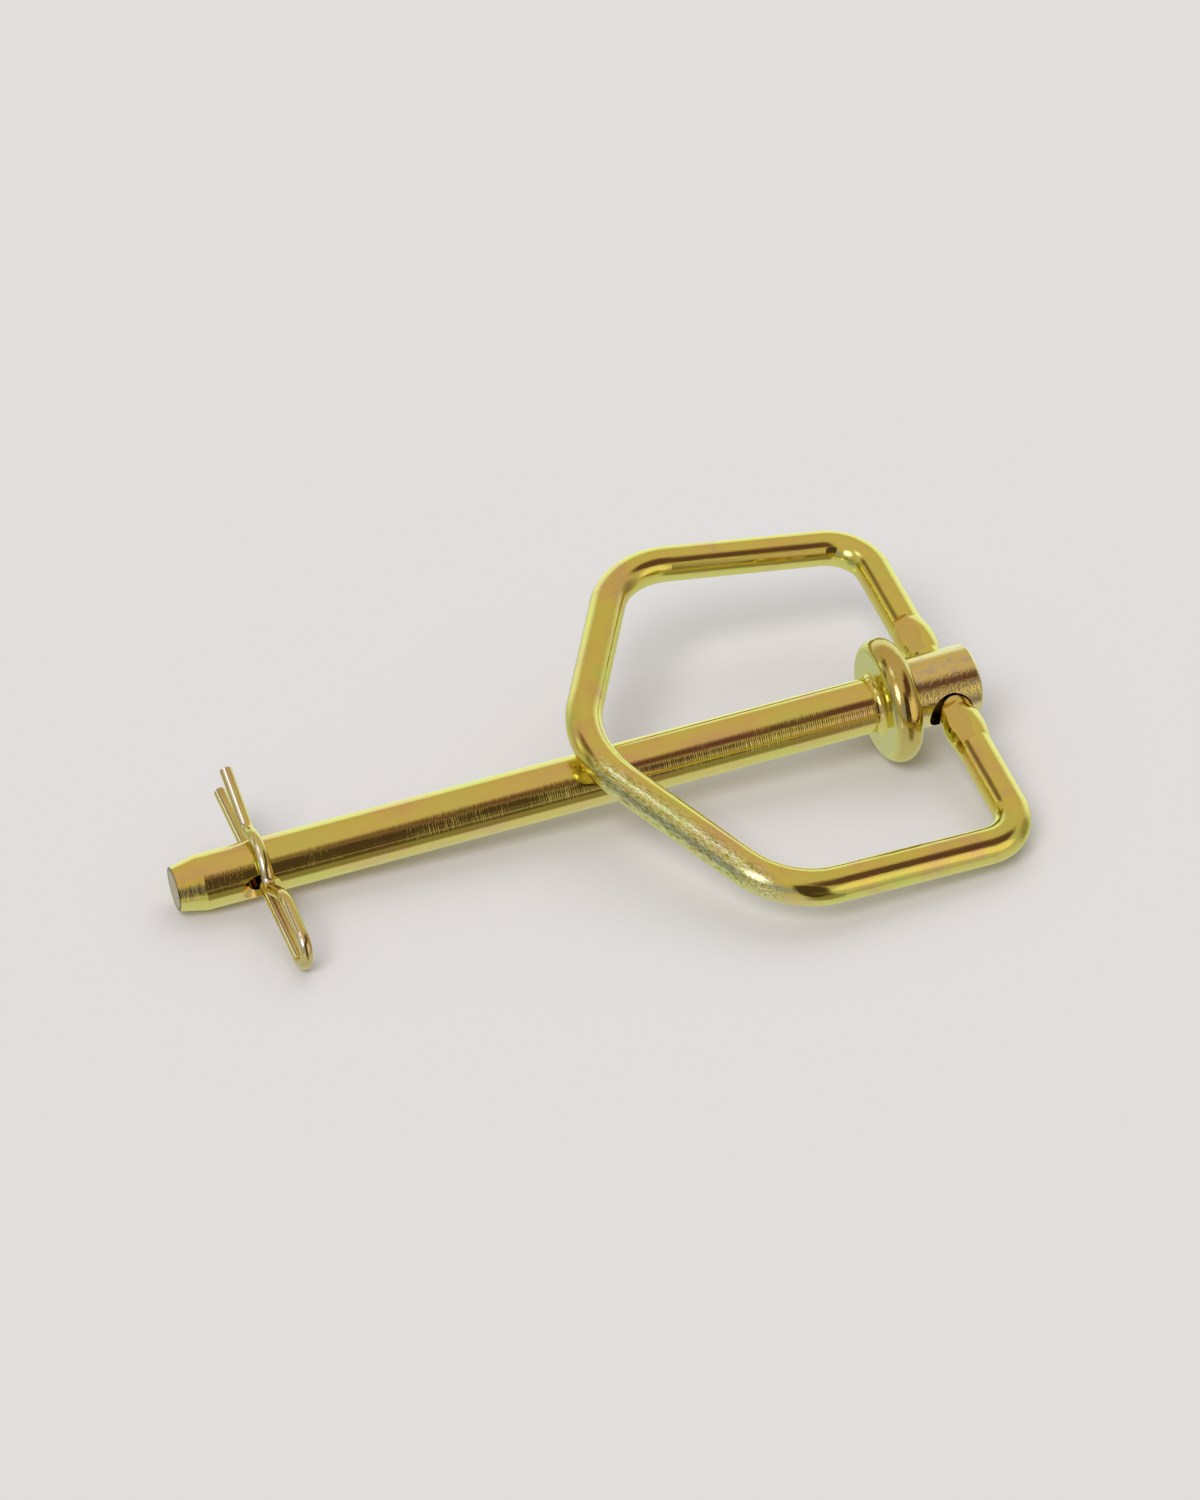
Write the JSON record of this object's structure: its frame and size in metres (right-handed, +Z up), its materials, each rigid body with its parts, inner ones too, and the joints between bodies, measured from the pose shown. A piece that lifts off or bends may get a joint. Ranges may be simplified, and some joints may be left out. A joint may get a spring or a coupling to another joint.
{
  "type": "swivel hitch pin",
  "caption": "Steel hitch pin with a flange, a swinging pentagon bail handle through its head and a hairpin clip through the tip.",
  "frame": {"origin": "on the shank's axis, at the flange's seating face", "axes": "+X towards the tip (the axis dips 2.9 degrees to the floor that the part lies on), +Y to the side on which the clip pulls out, +Z up"},
  "size_m": [0.2377, 0.14, 0.042],
  "materials": {
    "pin_plating": "turned steel, yellow zinc plated",
    "handle_plating": "drawn steel bar, yellow zinc plated",
    "clip_plating": "spring steel wire, yellow zinc plated"
  },
  "bodies": {
    "pin": {"hitch_pin": "pin_plating"},
    "handle": {"swivel_handle": "handle_plating"},
    "clip": {"hairpin_clip": "clip_plating"}
  },
  "joints": [
    {"name": "handle_swing", "type": "hinge", "parent": "pin", "child": "handle", "pos_m": [-0.02017, 0, 0.00101], "axis": [0.0099, -0.9804, 0.1968], "range_deg": [0, 345.5]},
    {"name": "clip_pull", "type": "slide", "parent": "pin", "child": "clip", "axis": [-0.0447, 0.9798, -0.1949], "range_m": [0, 0.041], "deforming": ["hairpin_clip"]}
  ]
}
